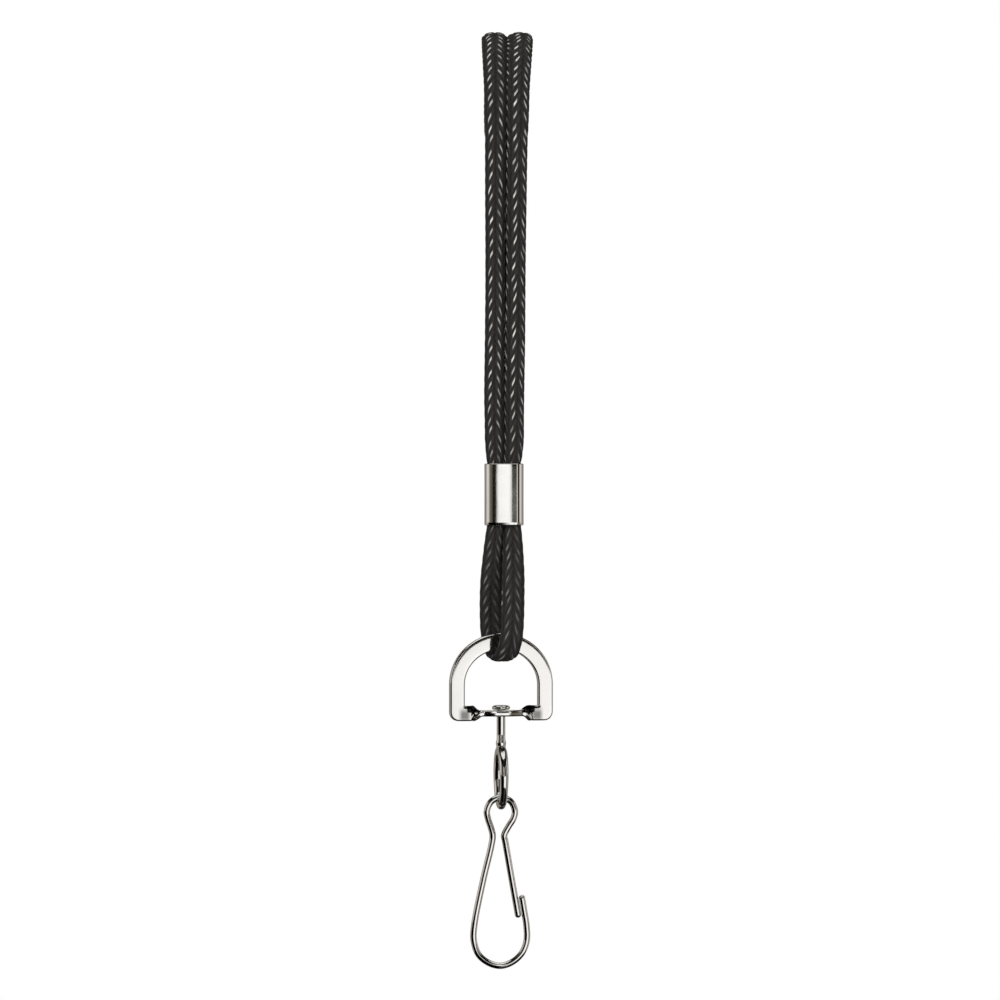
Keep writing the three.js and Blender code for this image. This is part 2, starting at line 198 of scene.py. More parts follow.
FILAMENTS_IN_YARN = 9.0
FILAMENT_WAVER = 1.7
CORD_DARKS = [(0.0, (0.001, 0.001, 0.001)), (0.3, (0.005, 0.005, 0.005)), (1.0, (0.03, 0.0285, 0.028))]
CORD_TINTS = [(0.38, (1.05, 0.9, 1.25)), (0.5, (1.0, 0.98, 0.92)), (0.62, (1.0, 1.05, 0.7))]
GLINT_TONES = [(0.35, (0.40, 0.395, 0.37)), (0.65, (0.54, 0.53, 0.49))]
NICKEL_TONES = [(0.3, (0.77, 0.75, 0.71)), (0.7, (0.84, 0.82, 0.78))]
TIE_TONES = [(0.0, (0.006, 0.006, 0.007)), (1.0, (0.03, 0.03, 0.032))]
# The colour of the painted shade inside the D-ring's twists.
TWIST_SHADE_COLOUR = (0.012, 0.011, 0.012, 1)


class Nodes:
    """Builds a material's node tree in a few words."""

    def __init__(self, name):
        self.material = bpy.data.materials.new(name)
        self.material.use_nodes = True
        self.tree = self.material.node_tree
        self.shader = self.tree.nodes["Principled BSDF"]

    def add(self, kind, inputs=None, **settings):
        node = self.tree.nodes.new(kind)
        for key, value in settings.items():
            setattr(node, key, value)
        for key, value in (inputs or {}).items():
            if isinstance(value, bpy.types.NodeSocket):
                self.tree.links.new(value, node.inputs[key])
            else:
                node.inputs[key].default_value = value
        return node

    def math(self, operation, *values):
        node = self.add("ShaderNodeMath", operation=operation)
        for i, value in enumerate(values):
            if isinstance(value, bpy.types.NodeSocket):
                self.tree.links.new(value, node.inputs[i])
            else:
                node.inputs[i].default_value = value
        return node.outputs[0]

    def fade(self, value, full, none):
        """1 where value is below full, falling smoothly to 0 at none."""
        node = self.add("ShaderNodeMapRange", {"Value": value}, interpolation_type="SMOOTHSTEP")
        node.inputs["From Min"].default_value = full
        node.inputs["From Max"].default_value = none
        node.inputs["To Min"].default_value = 1.0
        node.inputs["To Max"].default_value = 0.0
        return node.outputs[0]

    def near(self, value, middle, full, none):
        """1 within full of the middle, falling smoothly to 0 at none from it."""
        return self.fade(self.math("ABSOLUTE", self.math("SUBTRACT", value, middle)), full, none)

    def mix(self, factor, a, b, blend_type="MIX"):
        inputs = {"Factor": factor, "A": a, "B": b}
        return self.add("ShaderNodeMix", inputs, data_type="RGBA", blend_type=blend_type).outputs["Result"]

    def ramp(self, factor, stops):
        node = self.add("ShaderNodeValToRGB", {"Fac": factor})
        ramp = node.color_ramp
        while len(ramp.elements) < len(stops):
            ramp.elements.new(1.0)
        for element, (place, colour) in zip(ramp.elements, stops):
            element.position = place
            element.color = (*colour, 1)
        return node.outputs["Color"]

    def drive(self, socket, value):
        self.tree.links.new(value, self.shader.inputs[socket])

    def set(self, **values):
        for key, value in values.items():
            self.shader.inputs[key.replace("_", " ")].default_value = value


def cord_material():
    """Near-black polyester braid, with a painted highlight along the crown of every stitch and painted shade
    in its hollows.
    """
    n = Nodes("braided_cord")
    weave = n.add("ShaderNodeAttribute", attribute_name="weave").outputs["Vector"]
    weave = n.add("ShaderNodeSeparateXYZ", {"Vector": weave})
    place, along = weave.outputs["X"], weave.outputs["Y"]
    column = n.math("ROUND", place)
    across = n.math("SUBTRACT", place, column)
    lean = n.math("SUBTRACT", n.math("MULTIPLY", n.math("MODULO", column, 2.0), 2.0), 1.0)
    slant = n.math("ADD", n.math("MULTIPLY", across, YARN_LEAN), COLUMN_SHIFT)
    phase = n.math("ADD", along, n.math("MULTIPLY", lean, slant))
    stitch = n.math("FLOOR", phase)
    column = n.math("MODULO", column, float(STITCHES_ROUND))
    which = n.add("ShaderNodeCombineXYZ", {"X": column, "Y": stitch})
    luck = n.add("ShaderNodeTexWhiteNoise", {"Vector": which.outputs[0]}, noise_dimensions="2D")
    luck = n.add("ShaderNodeSeparateXYZ", {"Vector": luck.outputs["Color"]})
    crown = n.math("SUBTRACT", n.math("SUBTRACT", phase, stitch), 0.5)
    off_crown, off_column = n.math("ABSOLUTE", crown), n.math("ABSOLUTE", across)
    aside = n.math("MULTIPLY", n.math("SUBTRACT", luck.outputs["Y"], 0.5), GLINT_SCATTER)
    higher = n.math("MULTIPLY", n.math("SUBTRACT", luck.outputs["Z"], 0.5), GLINT_SCATTER)
    bow = n.math("MULTIPLY", n.math("MULTIPLY", across, across), GLINT_BOW)
    off_glint = n.math("ABSOLUTE", n.math("ADD", n.math("ADD", crown, aside), bow))
    off_middle = n.math("ABSOLUTE", n.math("ADD", across, higher))

    over_yarn = n.math("MULTIPLY", phase, FILAMENTS_IN_YARN)
    along_yarn = n.math("MULTIPLY", place, FILAMENT_WAVER)
    yarn = n.add("ShaderNodeCombineXYZ", {"X": over_yarn, "Y": along_yarn})
    filaments = n.add(
        "ShaderNodeTexNoise", {"Vector": yarn.outputs[0], "Scale": 1.0, "Detail": 3.0, "Roughness": 0.6}
    ).outputs[0]
    patches = n.add("ShaderNodeTexNoise", {"Scale": 1500.0, "Detail": 3.0}).outputs[0]
    tints = n.add("ShaderNodeTexNoise", {"Scale": 700.0, "Detail": 1.0}).outputs[0]

    # Painted shade darkens the colour in the hollows between stitches.
    hollow_shade = n.math("MULTIPLY", n.fade(off_crown, *HOLLOW_SHADE_OFF_CROWN), n.fade(off_column, *HOLLOW_SHADE_OFF_COLUMN))
    hollow_shade = n.math("ADD", DEEPEST_HOLLOW_SHADE, n.math("MULTIPLY", hollow_shade, 1 - DEEPEST_HOLLOW_SHADE))
    body = n.math("MULTIPLY", hollow_shade, n.math("MULTIPLY", filaments, n.math("MULTIPLY", patches, 3.0)))
    dark = n.mix(1.0, n.ramp(body, CORD_DARKS), n.ramp(tints, CORD_TINTS), "MULTIPLY")

    # Painted highlight: a bright glint along each stitch's crown, its strength varied at random, by lean, by
    # filaments and along the cord.
    lucky = n.math("ADD", GLINT_LEAST, n.math("MULTIPLY", luck.outputs["X"], 1 - GLINT_LEAST))
    leaning = n.math("SUBTRACT", GLINT_BY_LEAN[0], n.math("MULTIPLY", lean, GLINT_BY_LEAN[1]))
    glint = n.math("MULTIPLY", n.fade(off_glint, *GLINT_WIDTH), n.fade(off_middle, *GLINT_LENGTH))
    for factor in (lucky, leaning, n.fade(filaments, *GLINT_FILAMENTS), weave.outputs["Z"]):
        glint = n.math("MULTIPLY", glint, factor)

    n.drive("Base Color", n.mix(glint, dark, n.ramp(patches, GLINT_TONES)))
    n.drive("Roughness", n.math("SUBTRACT", 0.80, n.math("MULTIPLY", filaments, 0.3)))
    bump = n.add("ShaderNodeBump", {"Height": filaments, "Strength": 0.35, "Distance": 0.0001})
    n.drive("Normal", bump.outputs[0])
    n.set(Specular_IOR_Level=0.1)
    return n.material


def nickel_material(name, painted_shade=None):
    """Polished nickel plate with faint smears and fine scratches, and painted shade where it is asked for.
    """
    n = Nodes(name)
    place = n.add("ShaderNodeTexCoord").outputs["Object"]
    smears = n.add("ShaderNodeTexNoise", {"Vector": place, "Scale": 260.0, "Detail": 4.0}).outputs[0]
    stretched = n.add("ShaderNodeMapping", {"Vector": place, "Scale": (900.0, 900.0, 5200.0)})
    scratches = n.add("ShaderNodeTexNoise", {"Vector": stretched.outputs[0], "Scale": 1.0, "Detail": 2.0})
    waves = n.add("ShaderNodeTexNoise", {"Vector": place, "Scale": 330.0, "Detail": 1.0})
    plate = n.ramp(smears, NICKEL_TONES)
    # Painted shade, where it is asked for, darkens the plate towards the shade colour.
    n.drive("Base Color", n.mix(painted_shade(n, place), plate, TWIST_SHADE_COLOUR) if painted_shade else plate)
    n.drive("Roughness", n.math("ADD", 0.05, n.math("MULTIPLY", smears, 0.09)))
    soft = n.add("ShaderNodeBump", {"Height": waves.outputs[0], "Strength": 0.02, "Distance": 0.0004})
    fine = n.add(
        "ShaderNodeBump",
        {"Height": scratches.outputs[0], "Strength": 0.006, "Distance": 0.0001, "Normal": soft.outputs[0]},
    )
    n.drive("Normal", fine.outputs[0])
    n.set(Metallic=1.0)
    return n.material


def tie_material():
    """Ribbed black strap."""
    n = Nodes("tie_strap")
    place = n.add("ShaderNodeTexCoord").outputs["Object"]
    ribs = n.add(
        "ShaderNodeTexWave", {"Vector": place, "Scale": 700.0, "Distortion": 0.6}, bands_direction="Z"
    )
    grain = n.add("ShaderNodeTexNoise", {"Vector": place, "Scale": 2500.0, "Detail": 3.0})
    n.drive("Base Color", n.ramp(ribs.outputs[0], TIE_TONES))
    n.drive("Roughness", n.math("ADD", 0.5, n.math("MULTIPLY", grain.outputs[0], 0.3)))
    bump = n.add("ShaderNodeBump", {"Height": ribs.outputs[0], "Strength": 0.5, "Distance": 0.0001})
    n.drive("Normal", bump.outputs[0])
    return n.material


# ---------------------------------------------------------------- the cord

CORD = cord_material()
NICKEL = nickel_material("nickel_plate")
CORD_WIDTH = 3.2 * MM
CORD_THICKNESS = 2.3 * MM
CRIMPED_WIDTH = 2.55 * MM
YARN_RELIEF = 0.18 * MM
STRANDS_PRESSED = 0.05 * MM
PRESSED_AT_ENDS = 0.15 * MM
RIGHT_STRAND_ROLL = 0.33
CROWDING_AT_FOLD = 0.7
# The painted highlights are this share fainter at the crimp.
GLINT_LOSS_AT_CRIMP = 0.55
WAIST_NARROWING = 0.18
HANK_THINNING = 0.06
CRIMP_THICKENING = 0.05
# Where each change in the cord begins and where it is complete.
FOLD_WIDENING_Z = (-14 * MM, -10 * MM)
CRIMP_WIDENING_Z = (-56 * MM, -59 * MM)
CROWDING_Z = (-9 * MM, -4 * MM)
GLINT_LOSS_Z = (-52 * MM, -60 * MM)
FRONT_RUN_DEPTH = 4 * MM
FOLD_FRONT_Y = 8 * MM
ROLLING_SHARE = (0.45, 0.55)
AROUND = 36
STEPS_PER_STITCH = 10


def braid(along, place):
    """Height of the braid from 0 to 1, after along stitches and place columns round."""
    column = np.round(place)
    across = place - column
    lean = 2 * (column % 2) - 1
    phase = along + lean * (across * YARN_LEAN + COLUMN_SHIFT)
    off_crown = 2 * np.abs(phase - np.floor(phase) - 0.5)
    crown = np.sqrt(np.clip(1 - off_crown**2.4, 0, 1))
    dive = np.sqrt(np.clip(1 - np.abs(2 * across) ** 2.6, 0, 1))
    return crown * (0.25 + 0.75 * dive)


def section_outline(count):
    """A flattened oval of size 1 by 1, its points evenly spaced round the cord from its +X end."""
    angle = np.linspace(0, 2 * math.pi, 721)
    power = 0.9
    x = 0.5 * np.sign(np.cos(angle)) * np.abs(np.cos(angle)) ** power
    y = 0.5 * np.sign(np.sin(angle)) * np.abs(np.sin(angle)) ** power
    gaps = np.hypot(CORD_WIDTH * np.diff(x), CORD_THICKNESS * np.diff(y))
    round_it = np.concatenate([[0], np.cumsum(gaps)])
    wanted = np.arange(count) / count * round_it[-1]
    return np.interp(wanted, round_it, x), np.interp(wanted, round_it, y)


def braided_cord(name, line, widths, thicknesses, roll, crowding, glint_share):
    """A braided tube along a line; its size, roll in columns and look are given at each of its points."""
    tangent = unit(np.gradient(line, axis=0))
    sideways = np.array([1.0, 0, 0])
    wide = unit(sideways - tangent * (tangent @ sideways)[:, None])
    outward = np.cross(tangent, wide)
    x, y = section_outline(AROUND)
    steps = np.linalg.norm(np.diff(line, axis=0), axis=1) * crowding[1:]
    gone = np.concatenate([[0], np.cumsum(steps)]) / STITCH
    place = np.arange(AROUND) / AROUND * STITCHES_ROUND + roll[:, None]
    sink = (1 - braid(gone[:, None], place)) * YARN_RELIEF
    facing = unit(np.stack([x / CORD_WIDTH, y / CORD_THICKNESS], axis=1))
    u = x[None, :] * widths[:, None] - sink * facing[None, :, 0]
    v = y[None, :] * thicknesses[:, None] - sink * facing[None, :, 1]
    rings = line[:, None, :] + u[..., None] * wide[:, None, :] + v[..., None] * outward[:, None, :]
    piece = skin(name, rings, CORD)
    corners = np.zeros((len(line) - 1, AROUND, 4, 3))
    width_of_one = STITCHES_ROUND / AROUND
    here, there = place[:-1], place[1:]
    corners[..., 0] = np.stack([here, here + width_of_one, there + width_of_one, there], axis=2)
    # The weave's third value is the strength of the painted highlights.
    for i, values in ((1, gone), (2, glint_share)):
        corners[..., i] = np.stack([values[:-1], values[:-1], values[1:], values[1:]], axis=1)[:, None]
    ends = np.zeros((2 * AROUND, 3))
    store_corners(piece, "weave", np.vstack([corners.reshape(-1, 3), ends]))
    return piece


# Where the strands hang, from inside the crimp up to the fold.
NECK_STRAND_LEFT = [
    (-0.00075, FRONT_Y, -0.0645),
    (-0.00081, FRONT_Y, -0.0624),
    (-0.00092, FRONT_Y, -0.0592),
    (-0.00103, FRONT_Y, -0.0530),
    (-0.00091, FRONT_Y, -0.0430),
    (-0.00083, FRONT_Y, -0.0190),
    (-0.00080, FRONT_Y, -0.0063),
]
NECK_STRAND_RIGHT = [
    (0.00165, FRONT_Y, -0.0645),
    (0.00174, FRONT_Y, -0.0624),
    (0.00195, FRONT_Y, -0.0592),
    (0.00200, FRONT_Y, -0.0530),
    (0.00215, FRONT_Y, -0.0430),
    (0.00236, FRONT_Y, -0.0190),
    (0.00257, FRONT_Y, -0.0063),
]
FOLD_TOP_X = (-0.00095, 0.00286)
HANK_X = 0.00060
HANK_HALF_SPACING = 0.00145
FOLD_CENTRE_Z = -0.006
FOLD_RADIUS = 0.007
FOLD_RISE = 0.00735
SHOULDER_Z = -0.013
TOP_BEND_Z = -0.016
FOOT_BEND_Z = -0.0478
WAIST_Z = -0.033
WAIST_REACH = 0.013
LAYER = 0.00215
FRONT_RUN_Y = -0.0038
BACK_RUN_Y = 0.0159
BACK_WAIST_Y = 0.00695
MIDDLE_FOOT_Y = 0.0006
MIDDLE_TOP_Y = 0.00935
FULL_TURNS = 2
RUN_POINTS = 9
BEND_POINTS = 9


def waist(z):
    """1 at the tie, falling to 0 above and below it."""
    near = np.clip(np.abs(z - WAIST_Z) / WAIST_REACH, 0, 1)
    return 0.5 + 0.5 * np.cos(np.pi * near)


def run(x, y, waist_y, start_z, end_z):
    """One straight stretch of the hank, drawn in where the tie holds it."""
    return [(x, y + (waist_y - y) * waist(z), z) for z in np.linspace(start_z, end_z, RUN_POINTS)]


def bend(x, start_y, end_y, z, up):
    """Half a turn at the end of a run, without its first and last point."""
    middle, radius = (start_y + end_y) / 2, (start_y - end_y) / 2
    points = []
    for angle in np.linspace(0, math.pi, BEND_POINTS)[1:-1]:
        points.append((x, middle + radius * math.cos(angle), z + up * abs(radius) * math.sin(angle)))
    return points


def fold(start_x, top_x, end_x):
    """The visible fold, from the front strand up and over to the hank's back."""
    points = []
    for angle in np.linspace(math.pi, math.pi / 2, 6)[1:-1]:
        x = start_x + (top_x - start_x) * math.sin(angle)
        points.append((x, FOLD_RADIUS * math.cos(angle), FOLD_CENTRE_Z + FOLD_RISE * math.sin(angle)))
    rise = FOLD_CENTRE_Z + FOLD_RISE - SHOULDER_Z
    for angle in np.linspace(math.pi / 2, 0, 7)[:-1]:
        x = end_x + (top_x - end_x) * math.sin(angle)
        points.append((x, BACK_RUN_Y * math.cos(angle), SHOULDER_Z + rise * math.sin(angle)))
    return points


def turns(x):
    """Turns of the hank from its back inwards: down the back, round the foot, up the front."""
    points = []
    for turn in range(FULL_TURNS):
        back, front = BACK_RUN_Y - turn * LAYER, FRONT_RUN_Y + turn * LAYER
        top = SHOULDER_Z if turn == 0 else TOP_BEND_Z
        points += run(x, back, BACK_WAIST_Y - turn * LAYER, top, FOOT_BEND_Z)
        points += bend(x, back, front, FOOT_BEND_Z, -1)
        points += run(x, front, front, FOOT_BEND_Z, TOP_BEND_Z)
        if turn < FULL_TURNS - 1:
            points += bend(x, front, back - LAYER, TOP_BEND_Z, 1)
    return points


def neck_loop_route():
    """From the crimp up the left strand, through the hank, and down the right strand."""
    left_x, right_x = HANK_X - HANK_HALF_SPACING, HANK_X + HANK_HALF_SPACING
    left = NECK_STRAND_LEFT + fold(NECK_STRAND_LEFT[-1][0], FOLD_TOP_X[0], left_x) + turns(left_x)
    right = NECK_STRAND_RIGHT + fold(NECK_STRAND_RIGHT[-1][0], FOLD_TOP_X[1], right_x) + turns(right_x)
    inner_front = FRONT_RUN_Y + (FULL_TURNS - 1) * LAYER
    inner_back = BACK_RUN_Y - FULL_TURNS * LAYER
    left += bend(left_x, inner_front, inner_back, TOP_BEND_Z, 1)
    left += run(left_x, inner_back, BACK_WAIST_Y - FULL_TURNS * LAYER, TOP_BEND_Z, FOOT_BEND_Z)
    left += bend(left_x, inner_back, MIDDLE_FOOT_Y, FOOT_BEND_Z, -1)
    middle = []
    for share in np.linspace(0, 1, RUN_POINTS + 2):
        x = lerp(left_x, right_x, ease(share))
        y = MIDDLE_FOOT_Y + (MIDDLE_TOP_Y - MIDDLE_FOOT_Y) * max(0.0, 2 * share - 1) ** 1.5
        middle.append((x, y, FOOT_BEND_Z + (TOP_BEND_Z - FOOT_BEND_Z) * share))
    over = bend(right_x, MIDDLE_TOP_Y, inner_front, TOP_BEND_Z, 1)
    return left + middle + over + right[::-1]


def neck_loop(tie):
    line = smooth_line(neck_loop_route(), STITCH / STEPS_PER_STITCH)
    y, z = line[:, 1], line[:, 2]
    # The two front strands lie against each other, so each is as wide as they are apart.
    heights = [point[2] for point in NECK_STRAND_LEFT] + [0.0]
    apart = [right[0] - left[0] for left, right in zip(NECK_STRAND_LEFT, NECK_STRAND_RIGHT)]
    apart.append(FOLD_TOP_X[1] - FOLD_TOP_X[0])
    near_ends = rise(z, *FOLD_WIDENING_Z) + rise(z, *CRIMP_WIDENING_Z)
    front_width = np.interp(z, heights, apart) + STRANDS_PRESSED + PRESSED_AT_ENDS * near_ends
    front = rise(y, FRONT_RUN_Y, FRONT_RUN_Y - FRONT_RUN_DEPTH) + (z > SHOULDER_Z) * rise(y, FOLD_FRONT_Y, 0)
    front = np.clip(front, 0, 1)
    hank_width = 2 * HANK_HALF_SPACING * (1 - WAIST_NARROWING * waist(z))
    crimped = rise(z, CRIMP_HIGH[2] + MM, CRIMP_HIGH[2]) * (y < FRONT_Y + MM)
    widths = lerp(lerp(hank_width, front_width, front), CRIMPED_WIDTH, crimped)
    thicknesses = CORD_THICKNESS * (1 + CRIMP_THICKENING * crimped - HANK_THINNING * (1 - front))
    # The cord rolls a little on its way through the hank, and its braid is bunched up at the fold.
    roll = RIGHT_STRAND_ROLL * rise(np.linspace(0, 1, len(line)), *ROLLING_SHARE)
    crowding = 1 + CROWDING_AT_FOLD * rise(z, *CROWDING_Z)
    # The painted highlights grow fainter towards the crimp.
    glint_share = 1 - GLINT_LOSS_AT_CRIMP * rise(z, *GLINT_LOSS_Z)
    piece = braided_cord("neck_cord", line, widths, thicknesses, roll, crowding, glint_share)
    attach(piece, "strap")
    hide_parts("neck_hank", "neck_strand_left", "neck_strand_right")


# Down in front of the ring's top bar, under it and up behind; both ends run up inside the crimp.
RING_LOOP_ROUTE = [
    (0.00165, FRONT_Y, -0.0650),
    (0.00165, FRONT_Y, -0.0715),
    (0.00180, -0.0075, -0.0760),
    (0.00185, -0.0088, -0.0820),
    (0.00170, -0.0099, -0.0874),
    (0.00145, -0.00995, -0.0894),
    (0.00085, -0.0089, -0.0911),
    (0.00010, -0.0070, -0.09165),
    (-0.00065, -0.0051, -0.0911),
    (-0.00120, -0.00405, -0.0894),
    (-0.00145, -0.0041, -0.0874),
    (-0.00150, -0.0052, -0.0820),
    (-0.00110, -0.0065, -0.0760),
    (-0.00075, FRONT_Y, -0.0715),
    (-0.00075, FRONT_Y, -0.0650),
]
RING_LOOP_WIDTH = 3.4 * MM
RING_LOOP_THICKNESS = 2.0 * MM
# Strength of the painted highlights on the loop round the ring.
RING_LOOP_GLINT = 0.22
FREE_FROM_CRIMP = (-0.5 * MM, 7.5 * MM)
UNDER_BAR_Z = (-88.5 * MM, -91 * MM)
UNDER_BAR_THINNING = 0.35 * MM


def ring_loop():
    line = smooth_line(RING_LOOP_ROUTE, STITCH / STEPS_PER_STITCH)
    free = rise(CRIMP_LOW[2] - line[:, 2], *FREE_FROM_CRIMP)
    widths = lerp(CRIMPED_WIDTH, RING_LOOP_WIDTH, free**0.6)
    thinning = UNDER_BAR_THINNING * rise(line[:, 2], *UNDER_BAR_Z)
    thicknesses = lerp(CORD_THICKNESS, RING_LOOP_THICKNESS, free) - thinning
    even = np.ones(len(line))
    piece = braided_cord("ring_loop_cord", line, widths, thicknesses, 0 * even, even, RING_LOOP_GLINT * even)
    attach(piece, "strap")
    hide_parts("ring_loop", "crimped_cord_left", "crimped_cord_right")


# ---------------------------------------------------------------- the tie


def rounded_loop(half_x, low_y, high_y, radius, points_per_corner=6):
    """A rectangle with round corners in the XY plane, right-handed about +Z."""
    corners = [
        (half_x - radius, low_y + radius, -math.pi / 2),
        (half_x - radius, high_y - radius, 0),
        (-half_x + radius, high_y - radius, math.pi / 2),
        (-half_x + radius, low_y + radius, math.pi),
    ]
    points = []
    for x, y, start in corners:
        for i in range(points_per_corner):
            angle = start + math.pi / 2 * i / (points_per_corner - 1)
            points.append((x + radius * math.cos(angle), y + radius * math.sin(angle)))
    return points


def band(name, profile, material, centre, ring_at):
    """A closed band: profile gives (how far out, z) round its wall, ring_at(out) its outline there."""
    rings = [[(x, y, z) for x, y in ring_at(out)] for out, z in profile]
    rings = np.array(rings).transpose(1, 0, 2) + centre
    return skin(name, rings, material, closed=True)


TIE_WALL = 0.42 * MM
TIE_CROWN = 0.12 * MM
TIE_CORNER = 1.1 * MM
TIE_INSET = 0.15 * MM


def hank_tie():
    low, high = (np.array(corner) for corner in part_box("hank_tie"))
    half_x = (high[0] - low[0]) / 2
    profile = []
    for share in np.linspace(0, 1, 9):
        profile.append((TIE_CROWN * math.sin(math.pi * share), lerp(low[2], high[2], share)))
    for share in np.linspace(1, 0, 5):
        profile.append((-TIE_WALL, lerp(low[2], high[2], share)))

    def ring_at(out):
        grown = out - TIE_INSET
        return rounded_loop(half_x + grown, low[1] - grown, high[1] + grown, TIE_CORNER + out)

    centre = ((low[0] + high[0]) / 2, 0, 0)
    piece = band("hank_tie_strap", profile, tie_material(), centre, ring_at)
    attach(piece, "strap")
    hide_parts("hank_tie")
    return piece


# ---------------------------------------------------------------- the crimp

CRIMP_SIDE_RADIUS = 1.75 * MM
CRIMP_WALL = 0.45 * MM
CRIMP_LIP = 0.16 * MM
CRIMP_WAIST = 0.012 * MM
CRIMP_CROWN = 0.03 * MM


def stadium(half_x, half_y, radius):
    """A flattened tube's outline: two barely crowned faces and two round sides, right-handed about +Z."""
    points = []
    flat = half_x - radius
    for side in (1, -1):
        for angle in np.linspace(-math.pi / 2, math.pi / 2, 25):
            x = side * (flat + radius * math.cos(angle))
            points.append((x, side * (half_y - CRIMP_CROWN) * math.sin(angle)))
        for share in np.linspace(1, -1, 9)[1:-1]:
            points.append((side * flat * share, side * (half_y - CRIMP_CROWN * share * share)))
    return points


def crimp_ferrule():
    centre = (CRIMP_LOW + CRIMP_HIGH) / 2
    half = (CRIMP_HIGH - CRIMP_LOW) / 2
    straight = half[2] - CRIMP_LIP
    profile = []
    for share in np.linspace(-1, 1, 29):
        profile.append((-CRIMP_WAIST * (1 - share * share), straight * share))
    for angle in np.linspace(0, math.pi, 8)[1:-1]:
        out = (math.cos(angle) - 1) * CRIMP_WALL / 2
        profile.append((out, straight + CRIMP_LIP * math.sin(angle)))
    for share in np.linspace(1, -1, 7):
        profile.append((-CRIMP_WALL, straight * share))
    for angle in np.linspace(math.pi, 2 * math.pi, 8)[1:-1]:
        out = (math.cos(angle) - 1) * CRIMP_WALL / 2
        profile.append((out, CRIMP_LIP * math.sin(angle) - straight))

    def ring_at(out):
        return stadium(half[0] + out, half[1] + out, CRIMP_SIDE_RADIUS + out)

    piece = band("crimp_tube", profile, NICKEL, centre, ring_at)
    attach(piece, "strap")
    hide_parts("crimp_ferrule")


# ---------------------------------------------------------------- the D-ring

RING_CENTRE_Z = -95.85 * MM
RING_HALF_WIDTH = 6.9 * MM
RING_BAND = 2.3 * MM
RING_BAND_TOP = 2.5 * MM
RING_THICKNESS = 1.1 * MM
RING_CORNER = 1.3 * MM
OUTER_CORNER = 1.35 * MM
RING_TURN = math.atan2(JOINTS["ring_swing"]["axis"][1], JOINTS["ring_swing"]["axis"][0])
WEB_Z = -100.15 * MM
WEB_THICKNESS = 0.95 * MM
TWIST_START_X = 5.0 * MM
TWIST_END_X = 3.1 * MM
BOSS_WIDTH = 4.0 * MM
SECTION_EDGE = 0.28 * MM
FACE_CROWN = 0.004 * MM


def turned(points, angle, centre_y=FRONT_Y):
    """Points turned about the upright line through the origin, then moved back to the metal's plane."""
    points = np.asarray(points)
    c, s = math.cos(angle), math.sin(angle)
    x, y, z = points[..., 0], points[..., 1], points[..., 2]
    return np.stack([c * x - s * y, s * x + c * y + centre_y, z], axis=-1)


def corner_fill(angle):
    """How far the squared-off outside of a lower corner stands beyond a round one, at an angle round it."""
    c, s = math.cos(angle), math.sin(angle)
    outside = RING_CORNER + RING_BAND / 2
    offset = outside - OUTER_CORNER
    if min(c, s) < math.sin(math.atan2(offset, outside)):
        return outside / max(c, s) - outside
    reach = offset * (c + s)
    return reach + math.sqrt(reach**2 - 2 * offset**2 + OUTER_CORNER**2) - outside


def ring_stations():
    """The D's middle line clockwise from its top: x, z, width, fill outside, and twist from 0 to 1."""
    arch_height = RING_PIVOT[2] - RING_CENTRE_Z
    corner_x = RING_HALF_WIDTH - RING_CORNER
    half = []
    for share in np.linspace(0, 1, 33):
        angle = math.pi / 2 * share
        x = RING_HALF_WIDTH * math.sin(angle)
        z = RING_CENTRE_Z + arch_height * math.cos(angle)
        half.append((x, z, lerp(RING_BAND_TOP, RING_BAND, share), 0.0, 0.0))
    for share in np.linspace(0, 1, 13):
        angle = math.pi / 2 * share
        x = corner_x + RING_CORNER * math.cos(angle)
        z = WEB_Z + RING_CORNER * (1 - math.sin(angle))
        half.append((x, z, RING_BAND, corner_fill(angle), 0.0))
    for share in np.linspace(0, 1, 41):
        half.append((lerp(TWIST_START_X, TWIST_END_X, share), WEB_Z, RING_BAND, 0.0, ease(share)))
    for share in np.linspace(0, 1, 13)[1:]:
        width = lerp(RING_BAND, BOSS_WIDTH, math.sin(math.pi / 2 * share))
        half.append((TWIST_END_X * (1 - share), WEB_Z, width, 0.0, 1.0))
    other = [(-x, *rest) for x, *rest in half[-2:0:-1]]
    return half + other


# Painted shade on the D-ring: the middle of each shaded place, then how far from it the shade is full and
# where it is gone.
RECESS_ASIDE = (4.15 * MM, 0.8 * MM, 1.2 * MM)
RECESS_UP = (WEB_Z + 1.6 * MM, 1.4 * MM, 1.65 * MM)
CORNER_ASIDE = (5.4 * MM, 0.3 * MM, 1.1 * MM)
CORNER_UP = (WEB_Z - 0.3 * MM, 0.2 * MM, 1.5 * MM)
CORNER_SHADE = 0.75


def twist_shade(n, place):
    """How much shade is painted on the D-ring: black inside its twists and grey on the corners beside them.
    """
    place = n.add("ShaderNodeSeparateXYZ", {"Vector": place})
    aside, up = n.math("ABSOLUTE", place.outputs["X"]), place.outputs["Z"]
    recess = n.math("MULTIPLY", n.near(aside, *RECESS_ASIDE), n.near(up, *RECESS_UP))
    corner = n.math("MULTIPLY", n.near(aside, *CORNER_ASIDE), n.near(up, *CORNER_UP))
    return n.math("MAXIMUM", recess, n.math("MULTIPLY", corner, CORNER_SHADE))


# The D-ring's nickel carries painted shade in its twists and on its lower corners.
RING_NICKEL = nickel_material("ring_nickel_plate", twist_shade)


def strip_section(width, thickness):
    """The strip's section in the plane across it: rounded edges and slightly crowned faces."""
    a, b, e = width / 2 - SECTION_EDGE, thickness / 2 - SECTION_EDGE, SECTION_EDGE
    points = []
    for across, thick in ((1, -1), (1, 1), (-1, 1), (-1, -1)):
        start = math.atan2(thick, across) - math.pi / 4
        for angle in start + np.linspace(0, math.pi / 2, 6):
            points.append((across * a + e * math.cos(angle), thick * b + e * math.sin(angle)))
        if across == thick:
            for share in np.linspace(1, -1, 7)[1:-1]:
                points.append((across * a * share, thick * (b + e + FACE_CROWN * (1 - share * share))))
    return np.array(points)


